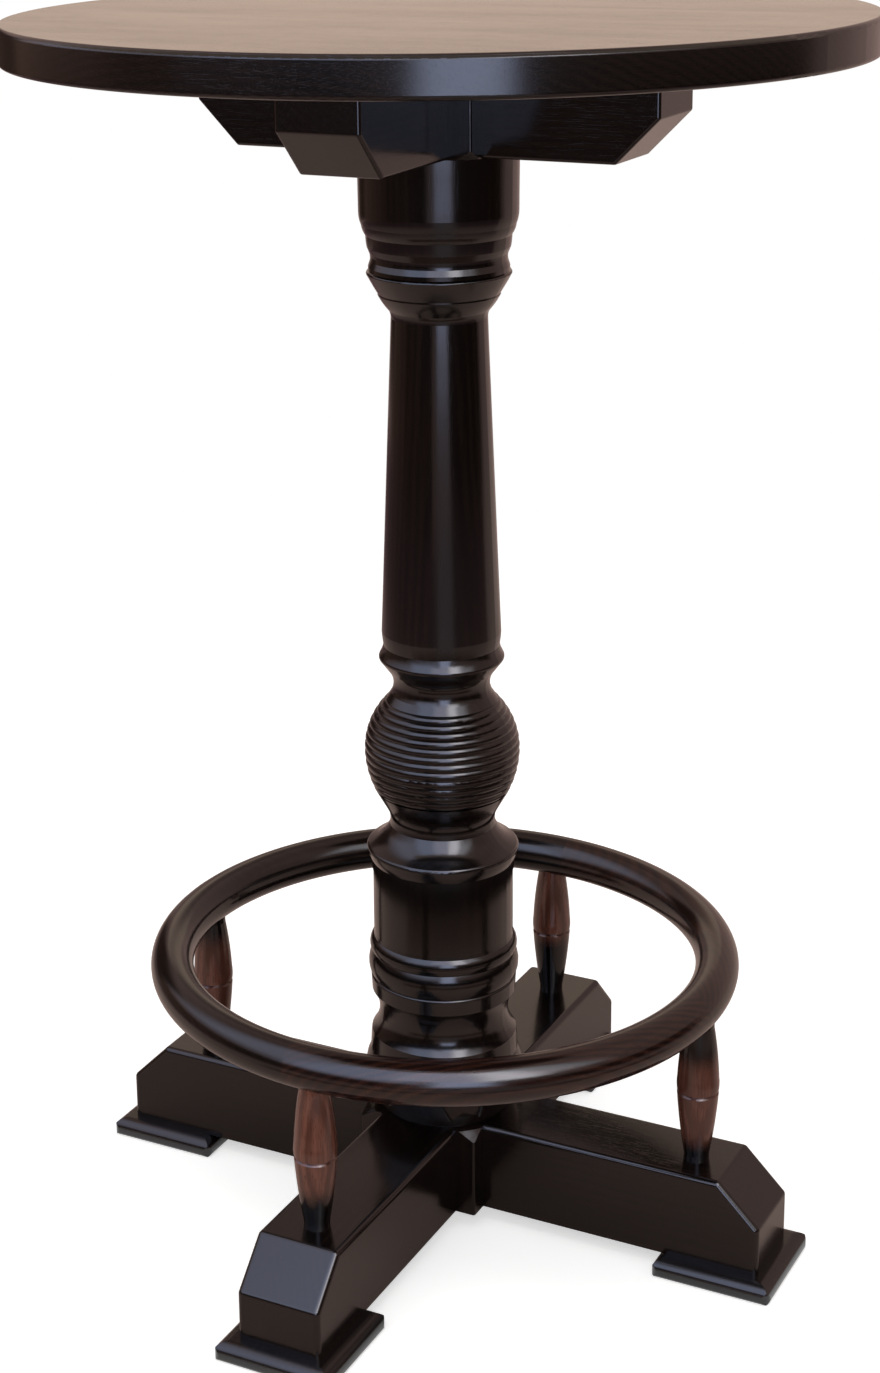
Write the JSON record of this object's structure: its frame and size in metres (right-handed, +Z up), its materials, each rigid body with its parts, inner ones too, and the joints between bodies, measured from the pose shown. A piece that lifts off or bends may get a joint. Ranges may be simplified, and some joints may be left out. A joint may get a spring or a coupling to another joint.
{
  "type": "pub table",
  "caption": "Tall round pub table on a turned, reeded post with a cross-shaped foot and a ring foot rail on turned spindles.",
  "frame": {"origin": "on the floor under the middle of the post", "axes": "+Z up along the post; +X along the right arm and the top's boards; +Y along the back arm"},
  "size_m": [0.711, 0.711, 1.067],
  "materials": {
    "espresso_wood": "dark espresso stain under satin lacquer",
    "dowel_wood": "bare beech",
    "screw_steel": "bright zinc"
  },
  "bodies": {
    "root": {"post": "espresso_wood", "right_arm": "espresso_wood", "right_foot_pad": "espresso_wood", "right_bearer": "espresso_wood", "right_spindle": "espresso_wood", "right_rail_quarter": "espresso_wood", "back_arm": "espresso_wood", "back_foot_pad": "espresso_wood", "back_bearer": "espresso_wood", "back_spindle": "espresso_wood", "back_rail_quarter": "espresso_wood", "left_arm": "espresso_wood", "left_foot_pad": "espresso_wood", "left_bearer": "espresso_wood", "left_spindle": "espresso_wood", "left_rail_quarter": "espresso_wood", "front_arm": "espresso_wood", "front_foot_pad": "espresso_wood", "front_bearer": "espresso_wood", "front_spindle": "espresso_wood", "front_rail_quarter": "espresso_wood", "top_board_1": "espresso_wood", "top_board_2": "espresso_wood", "top_board_3": "espresso_wood", "top_board_4": "espresso_wood", "top_board_5": "espresso_wood", "lower_tenon_pegs": "dowel_wood", "upper_tenon_pegs": "dowel_wood", "rail_dowels": "dowel_wood", "foot_pad_screws": "screw_steel", "top_screws": "screw_steel"}
  },
  "joints": []
}
